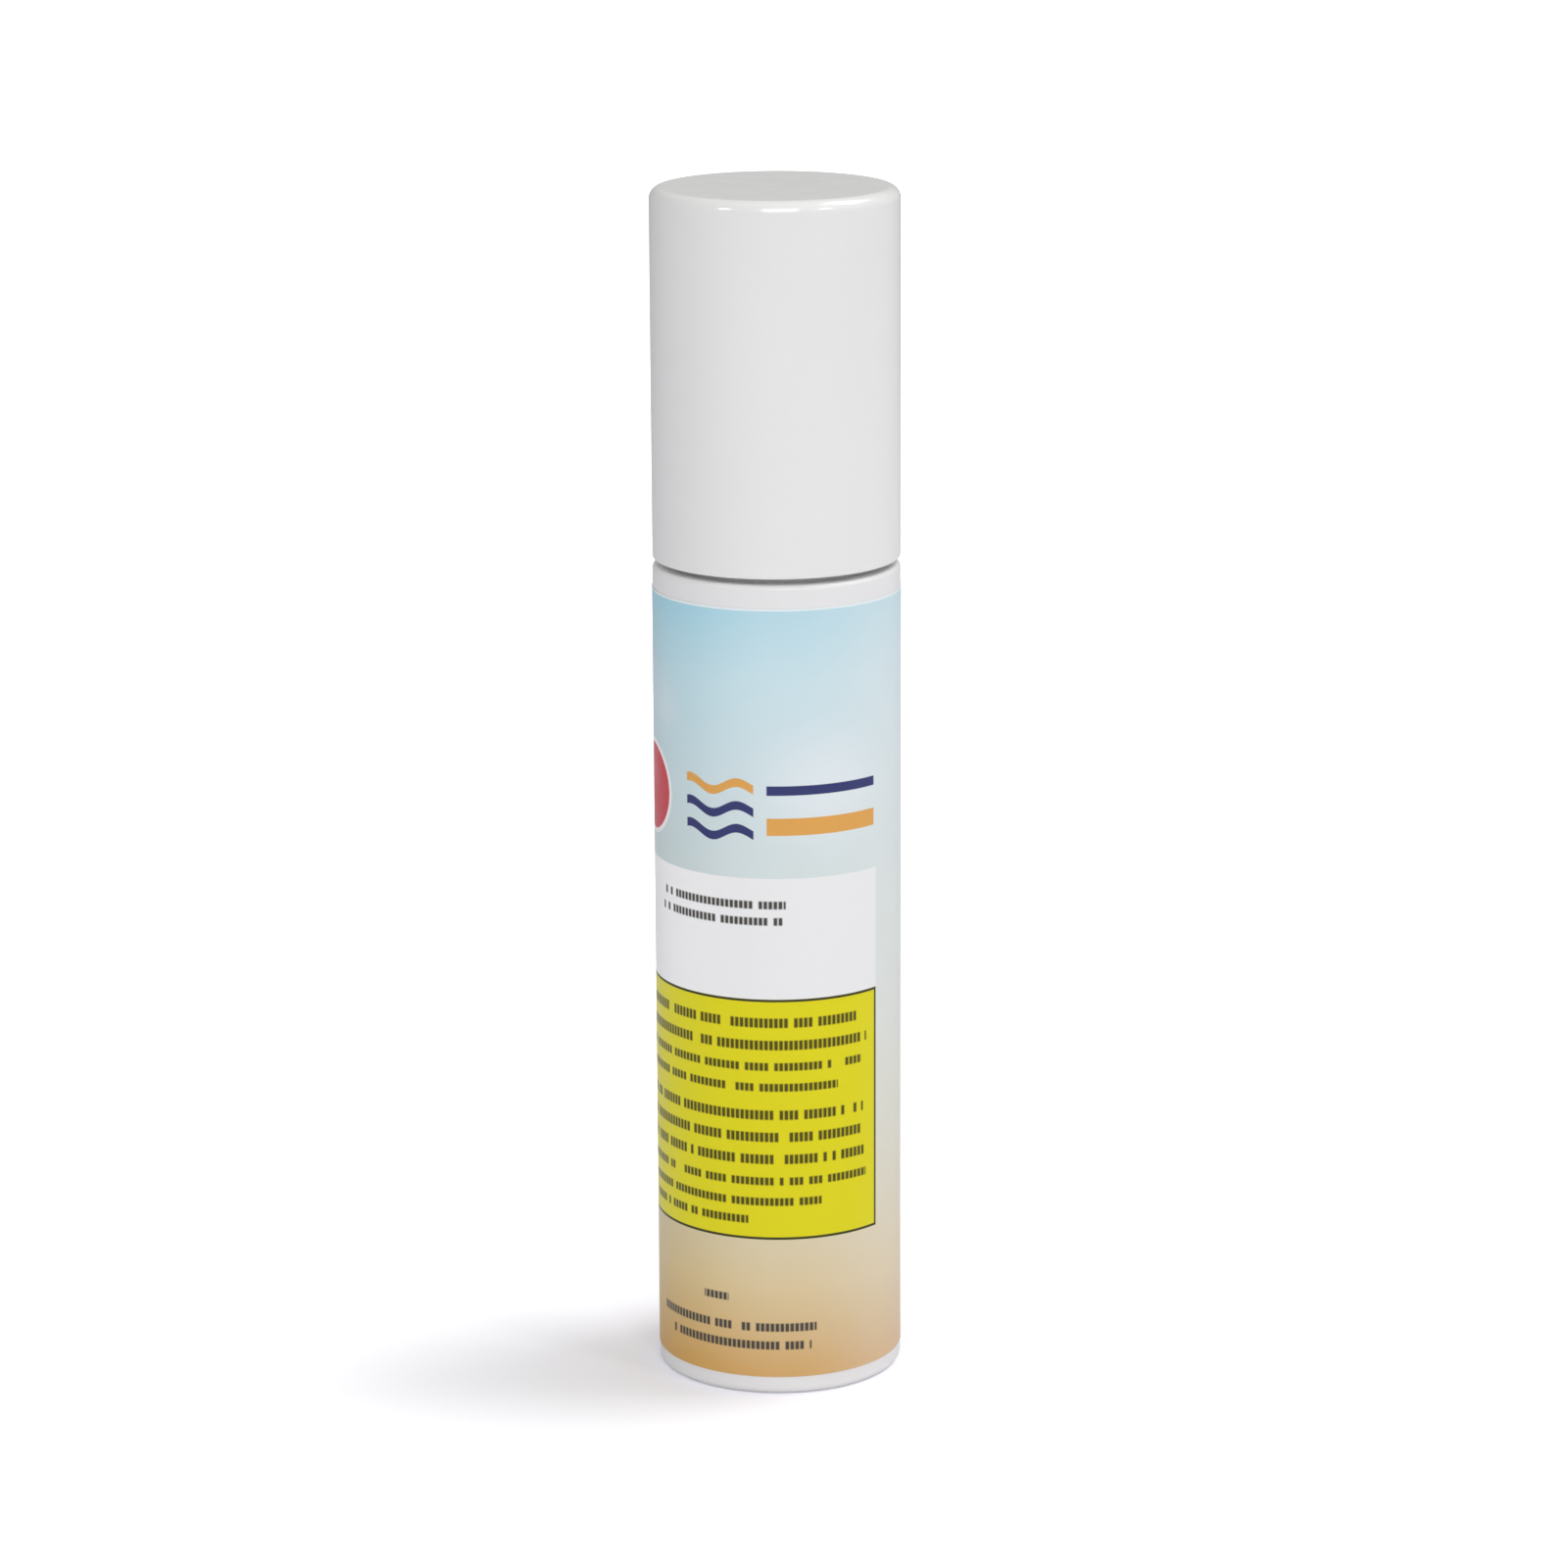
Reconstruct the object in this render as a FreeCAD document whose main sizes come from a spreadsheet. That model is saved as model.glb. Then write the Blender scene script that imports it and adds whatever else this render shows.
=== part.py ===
import FreeCAD, Part
import os

import Sketcher
from FreeCAD import Placement, Rotation, Vector

# A straight round airless dispenser for toothpaste, standing on its foot. +Z is up, the origin is the centre
# of the foot, and the spout under the cap points along -Y. Sizes are in millimetres.

# Driving dimensions: name, size, what it is.
SIZES = [
    ("overall_height", 151.6, "foot to cap top"),
    ("body_diameter", 31.0, "outside of the container and of the cap"),
    ("cap_height", 46.3, "cap mouth to cap top"),
    ("cap_gap", 0.7, "shadow gap between the shoulder and the cap"),
    ("cap_wall", 1.3, "side wall of the cap"),
    ("cap_top_wall", 1.5, "top wall of the cap"),
    ("cap_top_fillet", 1.5, "rounded top edge of the cap"),
    ("cap_roof_fillet", 0.8, "inside corner under the cap's top"),
    ("cap_mouth_fillet", 0.25, "outer edge of the cap's mouth"),
    ("cap_land", 0.1, "step of the gripping land inside the mouth"),
    ("cap_land_height", 3.2, "height of the gripping land"),
    ("cap_fit", 0.05, "radial gap between the land and the collar"),
    ("rib_depth", 0.9, "how far the stop ribs stand in from the cap's wall"),
    ("rib_width", 1.2, "thickness of a stop rib"),
    ("rib_count", 6, "stop ribs round the cap"),
    ("body_wall", 1.6, "side wall of the container"),
    ("shoulder_wall", 1.8, "shoulder of the container"),
    ("shoulder_fillet", 0.5, "outer edge of the shoulder"),
    ("foot_fillet", 0.9, "outer edge of the foot"),
    ("neck_wall", 1.8, "wall of the neck"),
    ("neck_bead", 0.4, "height of the snap bead on the neck"),
    ("neck_bead_drop", 4.0, "neck top to the bead's lower side"),
    ("snap_gap", 0.1, "clearance round a snap bead and round the neck"),
    ("label_thickness", 0.07, "film of the label"),
    ("label_glue", 0.03, "adhesive between the wall and the film"),
    ("label_top_margin", 2.8, "bare band above the label"),
    ("label_foot_margin", 2.4, "bare band below the label"),
    ("label_seam", 1.0, "gap between the label's two ends"),
    ("collar_wall", 1.5, "wall of the collar"),
    ("collar_seat", 5.6, "height of the band that carries the cap"),
    ("collar_ledge", 1.15, "width of the ledge that the cap's ribs rest on"),
    ("collar_fillet", 0.4, "outer edges of the collar"),
    ("clamp_thickness", 1.4, "inward flange that holds the pump down"),
    ("gasket_thickness", 0.8, "sealing ring on the neck"),
    ("flange_inset", 0.2, "how far the pump's flanges stay inside the neck's outside"),
    ("flange_thickness", 1.6, "flange of the pump housing"),
    ("pump_bore", 10.4, "bore of the pump housing"),
    ("pump_wall", 1.2, "wall of the pump housing"),
    ("piston_fit", 0.05, "radial gap between sliding pump parts"),
    ("stroke", 4.5, "travel of the push head"),
    ("press_clearance", 0.4, "what is left between parts at the end of the stroke"),
    ("stop_gap", 0.1, "gap between the stem's ring and its stop at rest"),
    ("valve_gap", 0.05, "gap between a closed valve and its seat"),
    ("piston_height", 4.6, "height of the pump piston"),
    ("piston_lip", 0.9, "height of each lip of the pump piston"),
    ("piston_waist", 0.6, "depth of the waist between the lips"),
    ("piston_floor", 0.9, "floor of the pump piston, under the stem"),
    ("piston_hole", 4.9, "hole in the piston's floor"),
    ("piston_lag", 0.8, "slack between piston and stem that opens the outlet"),
    ("stem_diameter", 6.0, "outside of the stem"),
    ("stem_bore", 4.2, "bore of the stem"),
    ("stem_ring", 1.4, "how far the stem's ring stands out"),
    ("stem_ring_thickness", 1.4, "thickness of the stem's ring"),
    ("stem_gap", 0.25, "stem end to piston floor with the outlet open"),
    ("rod_head_diameter", 8.4, "head of the piston rod"),
    ("rod_head_thickness", 1.2, "thickness of that head"),
    ("rod_core", 2.0, "core of the piston rod"),
    ("rod_reach", 11.0, "length of the rod above its head"),
    ("spline_width", 0.9, "thickness of a spline of the rod"),
    ("spline_count", 4, "splines round the rod"),
    ("ball_diameter", 6.0, "inlet ball"),
    ("ball_lift", 1.2, "travel of the inlet ball"),
    ("ball_room", 0.6, "room round the ball in its chamber"),
    ("ball_stop_bite", 0.4, "how far the stops reach in over the ball's edge"),
    ("ball_stop_height", 0.8, "height of a ball stop"),
    ("ball_stop_width", 1.2, "thickness of a ball stop"),
    ("ball_stop_count", 3, "ball stops round the chamber"),
    ("inlet_diameter", 4.0, "inlet hole under the ball"),
    ("housing_floor", 1.0, "floor of the housing under the valve seat"),
    ("guide_flange", 1.0, "flange of the stem guide"),
    ("guide_wall", 1.2, "top wall of the stem guide"),
    ("guide_cavity", 1.6, "room for the stem's ring inside the guide"),
    ("guide_fit", 0.06, "radial gap between the guide and the stem"),
    ("clamp_gap", 0.3, "gap between the collar's flange and the guide's hat"),
    ("spring_length", 11.0, "guide top to the boss at rest"),
    ("spring_wire", 0.9, "wire of the return spring"),
    ("spring_turns", 5, "turns of the return spring"),
    ("spring_room", 0.35, "gap between the socket and the spring"),
    ("spring_seat_gap", 0.05, "gap between the spring and each of its seats"),
    ("head_gap", 4.7, "push head to the inside of the cap's top"),
    ("head_above", 2.5, "spout top to the top of the push head"),
    ("head_fit", 0.3, "gap between the push head and the collar"),
    ("head_wall", 1.2, "skirt of the push head"),
    ("head_top_wall", 2.2, "top wall of the push head"),
    ("head_fillet", 1.0, "rounded top edge of the push head"),
    ("dish_margin", 2.6, "rim round the finger dish"),
    ("dish_depth", 1.0, "depth of the finger dish"),
    ("boss_margin", 0.75, "how far the boss stands out past the spring"),
    ("boss_floor", 1.7, "boss under the channel"),
    ("socket_depth", 5.2, "stem socket below the boss"),
    ("socket_wall", 0.95, "wall of the stem socket"),
    ("channel_diameter", 4.0, "channel through the spout"),
    ("spout_wall", 1.0, "wall of the spout"),
    ("spout_stand", 1.5, "how far the spout's mouth stands out past the push head"),
    ("spout_fillet", 0.5, "edge of the spout's mouth"),
    ("plug_recess", 0.8, "foot to the underside of the plug"),
    ("plug_floor", 1.4, "floor of the base plug"),
    ("plug_height", 7.2, "height of the base plug"),
    ("plug_wall", 1.2, "skirt of the base plug"),
    ("plug_fit", 0.05, "radial gap between the plug and the container"),
    ("plug_bead", 0.25, "height of the plug's snap bead"),
    ("plug_bead_drop", 3.0, "plug top to the bead's lower side"),
    ("vent_diameter", 1.5, "air hole in the base plug"),
    ("follower_lift", 16.0, "base plug to the follower with this fill"),
    ("follower_height", 12.0, "height of the follower piston"),
    ("follower_lip", 1.8, "height of each lip of the follower"),
    ("follower_waist", 0.6, "depth of the waist between the lips"),
    ("follower_wall", 1.2, "wall and crown of the follower"),
    ("follower_fit", 0.05, "radial gap between the follower and the container"),
    ("paste_gap", 0.15, "clearance round the toothpaste"),
]

# Radii worked out from the sheet, from the outside in.
RADII = [
    ("outer", "Sizes.body_diameter / 2"),
    ("inner", "Radii.outer - Sizes.body_wall"),
    ("label_inside", "Radii.outer + Sizes.label_glue"),
    ("label_outside", "Radii.label_inside + Sizes.label_thickness"),
    ("cap_bore", "Radii.outer - Sizes.cap_wall"),
    ("cap_land", "Radii.cap_bore - Sizes.cap_land"),
    ("cap_rib", "Radii.cap_bore - Sizes.rib_depth"),
    ("collar_seat", "Radii.cap_land - Sizes.cap_fit"),
    ("chimney", "Radii.collar_seat - Sizes.collar_ledge"),
    ("chimney_bore", "Radii.chimney - Sizes.collar_wall"),
    ("neck", "Radii.chimney_bore - Sizes.snap_gap"),
    ("neck_bore", "Radii.neck - Sizes.neck_wall"),
    ("neck_bead", "Radii.neck + Sizes.neck_bead"),
    ("flange", "Radii.neck - Sizes.flange_inset"),
    ("pump_bore", "Sizes.pump_bore / 2"),
    ("housing", "Radii.pump_bore + Sizes.pump_wall"),
    ("clamp_bore", "Radii.housing + Sizes.clamp_gap"),
    ("piston_lip", "Radii.pump_bore - Sizes.piston_fit"),
    ("piston_waist", "Radii.piston_lip - Sizes.piston_waist"),
    ("stem", "Sizes.stem_diameter / 2"),
    ("stem_bore", "Sizes.stem_bore / 2"),
    ("stem_ring", "Radii.stem + Sizes.stem_ring"),
    ("stem_slide", "Radii.stem + Sizes.piston_fit"),
    ("guide_bore", "Radii.stem + Sizes.guide_fit"),
    ("spline", "Radii.stem_bore - Sizes.piston_fit"),
    ("ball", "Sizes.ball_diameter / 2"),
    ("ball_chamber", "Radii.ball + Sizes.ball_room"),
    ("ball_stop", "Radii.ball - Sizes.ball_stop_bite"),
    ("chamber_outside", "Radii.ball_chamber + Sizes.pump_wall"),
    ("inlet", "Sizes.inlet_diameter / 2"),
    ("socket", "Radii.stem_slide + Sizes.socket_wall"),
    ("coil", "Radii.socket + Sizes.spring_room + Sizes.spring_wire / 2"),
    ("boss", "Radii.coil + Sizes.spring_wire / 2 + Sizes.boss_margin"),
    ("head", "Radii.chimney_bore - Sizes.head_fit"),
    ("head_bore", "Radii.head - Sizes.head_wall"),
    ("spout_mouth", "Radii.head + Sizes.spout_stand"),
    ("dish_edge", "Radii.head - Sizes.dish_margin"),
    ("dish", "(Radii.dish_edge ^ 2 + Sizes.dish_depth ^ 2) / (2 * Sizes.dish_depth)"),
    ("channel", "Sizes.channel_diameter / 2"),
    ("spout", "Radii.channel + Sizes.spout_wall"),
    ("plug", "Radii.inner - Sizes.plug_fit"),
    ("plug_bead", "Radii.plug + Sizes.plug_bead"),
    ("plug_bore", "Radii.plug - Sizes.plug_wall"),
    ("vent", "Sizes.vent_diameter / 2"),
    ("follower_lip", "Radii.inner - Sizes.follower_fit"),
    ("follower_waist", "Radii.follower_lip - Sizes.follower_waist"),
    ("follower_bore", "Radii.follower_waist - Sizes.follower_wall"),
    ("paste", "Radii.inner - Sizes.paste_gap"),
]

# Heights over the foot. The pump hangs down from the space under the cap's top.
LEVELS = [
    ("foot", "0"),
    ("cap_top", "Sizes.overall_height"),
    ("cap_mouth", "Levels.cap_top - Sizes.cap_height"),
    ("cap_land_top", "Levels.cap_mouth + Sizes.cap_land_height"),
    ("cap_roof", "Levels.cap_top - Sizes.cap_top_wall"),
    ("shoulder", "Levels.cap_mouth - Sizes.cap_gap"),
    ("ceiling", "Levels.shoulder - Sizes.shoulder_wall"),
    ("ledge", "Levels.shoulder + Sizes.collar_seat"),
    ("label_top", "Levels.shoulder - Sizes.label_top_margin"),
    ("label_bottom", "Sizes.label_foot_margin"),
    ("head_top", "Levels.cap_roof - Sizes.head_gap"),
    ("head_roof", "Levels.head_top - Sizes.head_top_wall"),
    ("spout", "Levels.head_top - Sizes.head_above - Radii.spout"),
    ("boss", "Levels.spout - Radii.channel - Sizes.boss_floor"),
    ("socket", "Levels.boss - Sizes.socket_depth"),
    ("socket_roof", "Levels.spout - Radii.spout - Sizes.stop_gap"),
    ("stem_top", "Levels.socket_roof - Sizes.valve_gap"),
    ("guide_top", "Levels.boss - Sizes.spring_length"),
    ("guide_roof", "Levels.guide_top - Sizes.guide_wall"),
    ("flange_top", "Levels.guide_roof - Sizes.guide_cavity"),
    ("flange_seat", "Levels.flange_top - Sizes.flange_thickness"),
    ("neck_top", "Levels.flange_seat - Sizes.gasket_thickness"),
    ("neck_bead", "Levels.neck_top - Sizes.neck_bead_drop"),
    ("clamp_low", "Levels.flange_top + Sizes.guide_flange"),
    ("clamp_top", "Levels.clamp_low + Sizes.clamp_thickness"),
    ("skirt", "Levels.clamp_top + Sizes.stroke + Sizes.press_clearance"),
    ("collar_top", "Levels.spout - Radii.spout - Sizes.stroke - Sizes.press_clearance"),
    ("stem_ring_top", "Levels.guide_roof - Sizes.stop_gap"),
    ("stem_ring_low", "Levels.stem_ring_top - Sizes.stem_ring_thickness"),
    ("piston_top", "Levels.stem_ring_low - Sizes.piston_lag - Sizes.valve_gap"),
    ("piston_bottom", "Levels.piston_top - Sizes.piston_height"),
    ("piston_step", "Levels.piston_bottom + Sizes.piston_floor"),
    ("stem_bottom", "Levels.piston_step + Sizes.piston_lag + Sizes.stem_gap"),
    ("rod_head_top", "Levels.piston_bottom - Sizes.valve_gap"),
    ("rod_bottom", "Levels.rod_head_top - Sizes.rod_head_thickness"),
    ("rod_top", "Levels.rod_head_top + Sizes.rod_reach"),
    ("ball_lifted", "Levels.rod_bottom - Sizes.stroke - Sizes.press_clearance - Radii.ball"),
    ("ball", "Levels.ball_lifted - Sizes.ball_lift"),
    ("seat_apex", "Levels.ball - (Radii.ball + Sizes.valve_gap) * sqrt(2)"),
    ("seat_low", "Levels.seat_apex + Radii.inlet"),
    ("seat_high", "Levels.seat_apex + Radii.ball_chamber"),
    ("housing_bottom", "Levels.seat_low - Sizes.housing_floor"),
    ("ball_stop", "Levels.ball_lifted + sqrt(Radii.ball ^ 2 - Radii.ball_stop ^ 2) + Sizes.valve_gap"),
    ("chamber_top", "Levels.ball_stop + Sizes.ball_stop_height"),
    ("plug_bottom", "Sizes.plug_recess"),
    ("plug_floor", "Levels.plug_bottom + Sizes.plug_floor"),
    ("plug_top", "Levels.plug_bottom + Sizes.plug_height"),
    ("plug_bead", "Levels.plug_top - Sizes.plug_bead_drop"),
    ("follower_bottom", "Levels.plug_top + Sizes.follower_lift"),
    ("follower_top", "Levels.follower_bottom + Sizes.follower_height"),
    ("paste_bottom", "Levels.follower_top + Sizes.paste_gap"),
    ("paste_top", "min(Levels.ceiling; Levels.housing_bottom) - Sizes.paste_gap"),
]

TOLERANCE = 1e-4
AXIS = "0"

doc = FreeCAD.newDocument("dispenser")


def make_sheet():
    """Puts the driving dimensions in a spreadsheet, one alias for each."""
    sheet = doc.addObject("Spreadsheet::Sheet", "Sizes")
    for row, (name, size, note) in enumerate(SIZES, start=1):
        sheet.set(f"A{row}", name)
        sheet.set(f"B{row}", str(size))
        sheet.set(f"C{row}", note)
        sheet.setAlias(f"B{row}", name)
    return sheet


def make_derived(name, formulas):
    """Holds sizes that follow from the sheet, each bound to its formula."""
    derived = doc.addObject("App::VarSet", name)
    for size, formula in formulas:
        derived.addProperty("App::PropertyFloat", size)
    for size, formula in formulas:
        derived.setExpression(size, formula)
    return derived


sheet = make_sheet()
make_derived("Radii", RADII)
make_derived("Levels", LEVELS)
doc.recompute()


def size_of(formula):
    """The present value of a formula, for first positions and for finding edges."""
    return float(sheet.evalExpression(formula))


class Piece:
    """A body whose heights are written over the foot, and held from the level that it is placed at."""

    def __init__(self, name, level):
        self.body = doc.addObject("PartDesign::Body", name)
        self.body.Label = name
        self.level = level
        self.body.setExpression("Placement.Base.z", level)
        self.axes = {feature.Role: feature for feature in self.body.Origin.OriginFeatures}

    def local(self, height):
        return f"{height} - {self.level}"

    def sketch(self, name):
        """A sketch in the upright plane through the axis, where x is the radius and y the height."""
        sketch = self.body.newObject("Sketcher::SketchObject", name)
        sketch.AttachmentSupport = [(self.axes["XZ_Plane"], "")]
        sketch.MapMode = "FlatFace"
        return sketch

    def outline(self, name, corners):
        """A closed outline through corners (radius, height), each tied to its formulas."""
        sketch = self.sketch(name)
        tied = [(radius, self.local(height)) for radius, height in corners]
        points = [Vector(size_of(across), size_of(up), 0) for across, up in tied]
        last = len(points)
        for number, point in enumerate(points):
            sketch.addGeometry(Part.LineSegment(point, points[(number + 1) % last]), False)
        for number in range(last):
            sketch.addConstraint(Sketcher.Constraint("Coincident", number, 2, (number + 1) % last, 1))
        for number, (point, (across, up)) in enumerate(zip(points, tied)):
            self.tie(sketch, "DistanceX", number, point.x, across)
            self.tie(sketch, "DistanceY", number, point.y, up)
        return sketch

    def tie(self, sketch, kind, number, size, formula):
        """Holds a line's first point at a distance from the sketch's origin."""
        constraint = sketch.addConstraint(Sketcher.Constraint(kind, -1, 1, number, 1, size))
        sketch.setExpression(f"Constraints[{constraint}]", formula)

    def turn(self, name, corners, angle=None):
        """Turns an outline round the axis."""
        sketch = self.outline(f"{name}_outline", corners)
        turned = self.body.newObject("PartDesign::Revolution", name)
        turned.Profile = sketch
        turned.ReferenceAxis = (sketch, ["V_Axis"])
        if angle:
            turned.setExpression("Angle", angle)
        doc.recompute()
        return turned

    def cut(self, feature):
        """Makes sure that a cut takes something away."""
        before = feature.BaseFeature.Shape.Volume
        doc.recompute()
        if feature.Shape.Volume >= before:
            raise RuntimeError(f"{self.body.Name}: {feature.Name} cuts nothing")

    def bore(self, name, corners):
        """Cuts an outline turned round the axis."""
        sketch = self.outline(f"{name}_outline", corners)
        bored = self.body.newObject("PartDesign::Groove", name)
        bored.Profile = sketch
        bored.ReferenceAxis = (sketch, ["V_Axis"])
        self.cut(bored)

    def circle(self, name, radius, height):
        """A circle on the axis, for a round bar or bore across it."""
        sketch = self.sketch(name)
        centre = Vector(0, size_of(self.local(height)), 0)
        sketch.addGeometry(Part.Circle(centre, Vector(0, 0, 1), size_of(radius)), False)
        sketch.addConstraint(Sketcher.Constraint("PointOnObject", 0, 3, -2))
        drop = sketch.addConstraint(Sketcher.Constraint("DistanceY", -1, 1, 0, 3, centre.y))
        sketch.setExpression(f"Constraints[{drop}]", self.local(height))
        width = sketch.addConstraint(Sketcher.Constraint("Radius", 0, size_of(radius)))
        sketch.setExpression(f"Constraints[{width}]", radius)
        return sketch

    def fins(self, name, corners, width, count):
        """Upright fins through an outline, spaced evenly round the axis."""
        sketch = self.outline(f"{name}_outline", corners)
        fin = self.body.newObject("PartDesign::Pad", name)
        fin.Profile = sketch
        fin.SideType = "Symmetric"
        fin.setExpression("Length", width)
        doc.recompute()
        ring = self.body.newObject("PartDesign::PolarPattern", f"{name}_ring")
        ring.Originals = [fin]
        ring.Axis = (sketch, ["V_Axis"])
        ring.Angle = 360
        ring.setExpression("Occurrences", count)
        self.body.Tip = ring
        doc.recompute()
        return ring

    def round_edges(self, name, size, circles):
        """Rounds circular edges, each given by its radius, its height and its place along Y."""
        base = self.body.Tip
        wanted = [
            (size_of(radius), Vector(0, size_of(along), size_of(self.local(height))))
            for radius, height, along in circles
        ]
        names = []
        for number, edge in enumerate(base.Shape.Edges, start=1):
            if not isinstance(edge.Curve, Part.Circle):
                continue
            for radius, centre in wanted:
                same_size = abs(edge.Curve.Radius - radius) < TOLERANCE
                if same_size and edge.Curve.Center.distanceToPoint(centre) < TOLERANCE:
                    names.append(f"Edge{number}")
        if len(names) < len(circles):
            raise RuntimeError(f"{self.body.Name}: an edge of {name} is missing")
        rounded = self.body.newObject("PartDesign::Fillet", name)
        rounded.Base = (base, names)
        rounded.setExpression("Radius", size)
        doc.recompute()
        return rounded


def make_container():
    """Body, shoulder and neck in one moulding, open at the foot."""
    piece = Piece("container", "Levels.foot")
    bead_top = "Levels.neck_bead + 2 * Sizes.neck_bead"
    groove = "Radii.plug_bead + Sizes.snap_gap"
    groove_low = "Levels.plug_bead - Sizes.snap_gap"
    groove_top = "Levels.plug_bead + 2 * Sizes.plug_bead + Sizes.snap_gap"
    piece.turn("wall", [
        ("Radii.inner", "Levels.foot"),
        ("Radii.outer", "Levels.foot"),
        ("Radii.outer", "Levels.shoulder"),
        ("Radii.neck", "Levels.shoulder"),
        ("Radii.neck", "Levels.neck_bead"),
        ("Radii.neck_bead", "Levels.neck_bead"),
        ("Radii.neck", bead_top),
        ("Radii.neck", "Levels.neck_top"),
        ("Radii.neck_bore", "Levels.neck_top"),
        ("Radii.neck_bore", "Levels.ceiling"),
        ("Radii.inner", "Levels.ceiling"),
        ("Radii.inner", groove_top),
        (groove, groove_low),
        ("Radii.inner", groove_low),
    ])
    piece.round_edges("shoulder_edge", "Sizes.shoulder_fillet", [("Radii.outer", "Levels.shoulder", AXIS)])
    piece.round_edges("foot_edge", "Sizes.foot_fillet", [("Radii.outer", "Levels.foot", AXIS)])
    return piece.body


def make_base_plug():
    """Cup pressed into the foot, with a snap bead and an air hole."""
    piece = Piece("base_plug", "Levels.plug_bottom")
    piece.turn("cup", [
        ("Radii.vent", "Levels.plug_bottom"),
        ("Radii.plug", "Levels.plug_bottom"),
        ("Radii.plug", "Levels.plug_bead"),
        ("Radii.plug_bead", "Levels.plug_bead"),
        ("Radii.plug", "Levels.plug_bead + 2 * Sizes.plug_bead"),
        ("Radii.plug", "Levels.plug_top"),
        ("Radii.plug_bore", "Levels.plug_top"),
        ("Radii.plug_bore", "Levels.plug_floor"),
        ("Radii.vent", "Levels.plug_floor"),
    ])
    return piece.body


def make_follower():
    """Piston with a wiping lip at each end, open below."""
    piece = Piece("follower_piston", "Levels.follower_bottom")
    slope = "Sizes.follower_waist"
    low_lip = "Levels.follower_bottom + Sizes.follower_lip"
    high_lip = "Levels.follower_top - Sizes.follower_lip"
    crown = "Levels.follower_top - Sizes.follower_wall"
    piece.turn("cup", [
        ("Radii.follower_bore", "Levels.follower_bottom"),
        ("Radii.follower_lip", "Levels.follower_bottom"),
        ("Radii.follower_lip", low_lip),
        ("Radii.follower_waist", f"{low_lip} + {slope}"),
        ("Radii.follower_waist", f"{high_lip} - {slope}"),
        ("Radii.follower_lip", high_lip),
        ("Radii.follower_lip", "Levels.follower_top"),
        (AXIS, "Levels.follower_top"),
        (AXIS, crown),
        ("Radii.follower_bore", crown),
    ])
    return piece.body


def make_toothpaste():
    """The fill between the follower and the shoulder."""
    paste = doc.addObject("Part::Cylinder", "toothpaste")
    paste.Label = "toothpaste"
    paste.setExpression("Radius", "Radii.paste")
    paste.setExpression("Height", "Levels.paste_top - Levels.paste_bottom")
    paste.setExpression("Placement.Base.z", "Levels.paste_bottom")
    return paste


def make_label():
    """Film wrapped round the wall, its two ends a seam's width apart at the back."""
    piece = Piece("label", "Levels.label_bottom")
    piece.turn("film", [
        ("Radii.label_inside", "Levels.label_bottom"),
        ("Radii.label_outside", "Levels.label_bottom"),
        ("Radii.label_outside", "Levels.label_top"),
        ("Radii.label_inside", "Levels.label_top"),
    ], angle="360 - Sizes.label_seam / Radii.label_inside * 180 / pi")
    foot = piece.body.Placement.Base
    quarter_turn = Rotation(Vector(0, 0, 1), 90)
    piece.body.Placement = Placement(foot, quarter_turn)
    return piece.body


def make_collar():
    """Snaps over the neck, clamps the pump, carries the cap and guides the push head."""
    piece = Piece("collar", "Levels.shoulder")
    groove = "Radii.neck_bead + Sizes.snap_gap"
    groove_low = "Levels.neck_bead - Sizes.snap_gap"
    groove_top = "Levels.neck_bead + 2 * Sizes.neck_bead + Sizes.snap_gap"
    piece.turn("ring", [
        ("Radii.chimney_bore", "Levels.shoulder"),
        ("Radii.collar_seat", "Levels.shoulder"),
        ("Radii.collar_seat", "Levels.ledge"),
        ("Radii.chimney", "Levels.ledge"),
        ("Radii.chimney", "Levels.collar_top"),
        ("Radii.chimney_bore", "Levels.collar_top"),
        ("Radii.chimney_bore", "Levels.clamp_top"),
        ("Radii.clamp_bore", "Levels.clamp_top"),
        ("Radii.clamp_bore", "Levels.clamp_low"),
        ("Radii.chimney_bore", "Levels.clamp_low"),
        ("Radii.chimney_bore", groove_top),
        (groove, groove_low),
        ("Radii.chimney_bore", groove_low),
    ])
    piece.round_edges("outer_edges", "Sizes.collar_fillet", [
        ("Radii.collar_seat", "Levels.ledge", AXIS),
        ("Radii.chimney", "Levels.collar_top", AXIS),
    ])
    return piece.body


def make_gasket():
    """Flat ring between the neck and the pump's flange."""
    piece = Piece("gasket", "Levels.neck_top")
    piece.turn("ring", [
        ("Radii.neck_bore", "Levels.neck_top"),
        ("Radii.flange", "Levels.neck_top"),
        ("Radii.flange", "Levels.flange_seat"),
        ("Radii.neck_bore", "Levels.flange_seat"),
    ])
    return piece.body


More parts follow.
